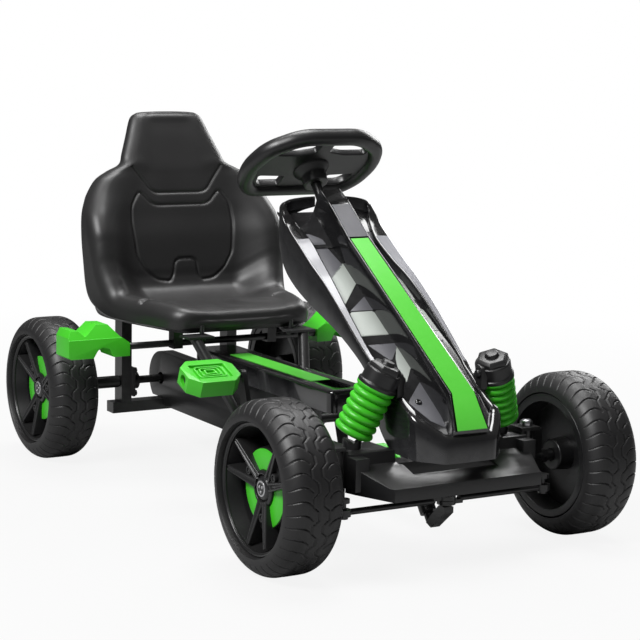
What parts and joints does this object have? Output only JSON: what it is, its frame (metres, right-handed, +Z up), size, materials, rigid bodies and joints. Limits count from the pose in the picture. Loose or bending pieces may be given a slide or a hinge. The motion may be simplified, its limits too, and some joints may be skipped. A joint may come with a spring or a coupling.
{
  "type": "pedal go kart",
  "caption": "Child's chain-driven pedal go kart with a bucket seat, steered front wheels, a tall nose cowl, decorative shock absorbers and green trim.",
  "frame": {"origin": "on the ground, under the centre of the wheelbase", "axes": "+Z up, -Y forward (towards the nose), +X to the driver's left"},
  "size_m": [0.615, 1.101, 0.623],
  "materials": {
    "tyre_foam": "satin foam rubber",
    "rim_black": "satin moulded plastic",
    "accent_green": "satin moulded plastic",
    "hub_cap_grey": "gloss",
    "black_plastic": "satin moulded plastic",
    "gloss_black": "high gloss",
    "green_decal": "printed film",
    "frame_black": "gloss powder coat",
    "zinc_steel": "zinc plated",
    "seat_plastic": "satin blow-moulded plastic"
  },
  "bodies": {
    "chassis": {"main_tube": "frame_black", "front_beam": "frame_black", "kingpins": "zinc_steel", "steering_tube": "frame_black", "rear_cross_bar": "frame_black", "rear_bearings": "frame_black", "rear_post_right": "frame_black", "rear_post_left": "frame_black", "seat_strut_right": "frame_black", "seat_strut_left": "frame_black", "mudguard_rod": "frame_black", "seat": "seat_plastic", "seat_bolts": "zinc_steel", "chain_case_outer": "black_plastic", "chain_case_inner": "black_plastic", "drive_chain": "zinc_steel", "hood": "gloss_black", "hood_stripe": "green_decal", "front_bumper": "black_plastic", "frame_cover": "gloss_black", "frame_cover_stripe": "green_decal", "shock_cap_right": "black_plastic", "shock_cap_left": "black_plastic", "shock_boot_right": "accent_green", "shock_boot_left": "accent_green", "mudguard_right": "accent_green", "mudguard_left": "accent_green"},
    "steering": {"steering_column": "frame_black", "steering_wheel": "black_plastic", "steering_cap": "black_plastic"},
    "knuckle_right": {"knuckle_right": "frame_black"},
    "knuckle_left": {"knuckle_left": "frame_black"},
    "tie_rod_right": {"tie_rod_right": "frame_black"},
    "tie_rod_left": {"tie_rod_left": "frame_black"},
    "front_wheel_right": {"tyre_front_right": "tyre_foam", "rim_front_right": "rim_black", "wheel_disc_front_right": "accent_green", "hub_cap_front_right": "hub_cap_grey", "wheel_bushes_front_right": "black_plastic"},
    "front_wheel_left": {"tyre_front_left": "tyre_foam", "rim_front_left": "rim_black", "wheel_disc_front_left": "accent_green", "hub_cap_front_left": "hub_cap_grey", "wheel_bushes_front_left": "black_plastic"},
    "rear_axle": {"rear_axle": "zinc_steel", "rear_sprocket": "zinc_steel", "tyre_rear_right": "tyre_foam", "rim_rear_right": "rim_black", "wheel_disc_rear_right": "accent_green", "hub_cap_rear_right": "hub_cap_grey", "wheel_bushes_rear_right": "black_plastic"},
    "rear_wheel_left": {"tyre_rear_left": "tyre_foam", "rim_rear_left": "rim_black", "wheel_disc_rear_left": "accent_green", "hub_cap_rear_left": "hub_cap_grey", "wheel_bushes_rear_left": "black_plastic"},
    "crank": {"crankshaft": "frame_black", "crank_sprocket": "zinc_steel"},
    "pedal_right": {"pedal_right": "accent_green"},
    "pedal_left": {"pedal_left": "accent_green"}
  },
  "joints": [
    {"name": "steering_turn", "type": "hinge", "parent": "chassis", "child": "steering", "pos_m": [0, -0.0542, 0.5544], "axis": [0, 0.6, 0.8], "range_deg": [-20, 20]},
    {"name": "knuckle_right_turn", "type": "hinge", "parent": "chassis", "child": "knuckle_right", "pos_m": [-0.178, -0.423, 0.1275], "axis": [0, 0, 1], "range_deg": [-20, 20]},
    {"name": "knuckle_left_turn", "type": "hinge", "parent": "chassis", "child": "knuckle_left", "pos_m": [0.178, -0.423, 0.1275], "axis": [0, 0, 1], "range_deg": [-20, 20]},
    {"name": "tie_rod_right_pivot", "type": "hinge", "parent": "knuckle_right", "child": "tie_rod_right", "pos_m": [-0.178, -0.4696, 0.091], "axis": [0, 0, 1], "range_deg": [-20, 20]},
    {"name": "tie_rod_left_pivot", "type": "hinge", "parent": "knuckle_left", "child": "tie_rod_left", "pos_m": [0.178, -0.4696, 0.091], "axis": [0, 0, 1], "range_deg": [-20, 20]},
    {"name": "front_wheel_right_spin", "type": "hinge", "parent": "knuckle_right", "child": "front_wheel_right", "pos_m": [-0.2615, -0.423, 0.1275], "axis": [1, 0, 0], "continuous": true},
    {"name": "front_wheel_left_spin", "type": "hinge", "parent": "knuckle_left", "child": "front_wheel_left", "pos_m": [0.2615, -0.423, 0.1275], "axis": [1, 0, 0], "continuous": true},
    {"name": "rear_axle_spin", "type": "hinge", "parent": "chassis", "child": "rear_axle", "pos_m": [0, 0.423, 0.1275], "axis": [1, 0, 0], "continuous": true},
    {"name": "rear_wheel_left_spin", "type": "hinge", "parent": "chassis", "child": "rear_wheel_left", "pos_m": [0.2527, 0.423, 0.1275], "axis": [1, 0, 0], "continuous": true},
    {"name": "crank_spin", "type": "hinge", "parent": "chassis", "child": "crank", "pos_m": [0, -0.02, 0.125], "axis": [1, 0, 0], "continuous": true},
    {"name": "pedal_right_spin", "type": "hinge", "parent": "crank", "child": "pedal_right", "pos_m": [-0.15, 0.00456, 0.20533], "axis": [1, 0, 0], "continuous": true},
    {"name": "pedal_left_spin", "type": "hinge", "parent": "crank", "child": "pedal_left", "pos_m": [0.15, -0.04456, 0.04467], "axis": [1, 0, 0], "continuous": true}
  ],
  "couplings": [
    {"joint": "knuckle_right_turn", "follows": "steering_turn", "ratio": 1},
    {"joint": "knuckle_left_turn", "follows": "steering_turn", "ratio": 1},
    {"joint": "tie_rod_right_pivot", "follows": "steering_turn", "ratio": -1},
    {"joint": "tie_rod_left_pivot", "follows": "steering_turn", "ratio": -1},
    {"joint": "crank_spin", "follows": "rear_axle_spin", "ratio": 0.6}
  ]
}
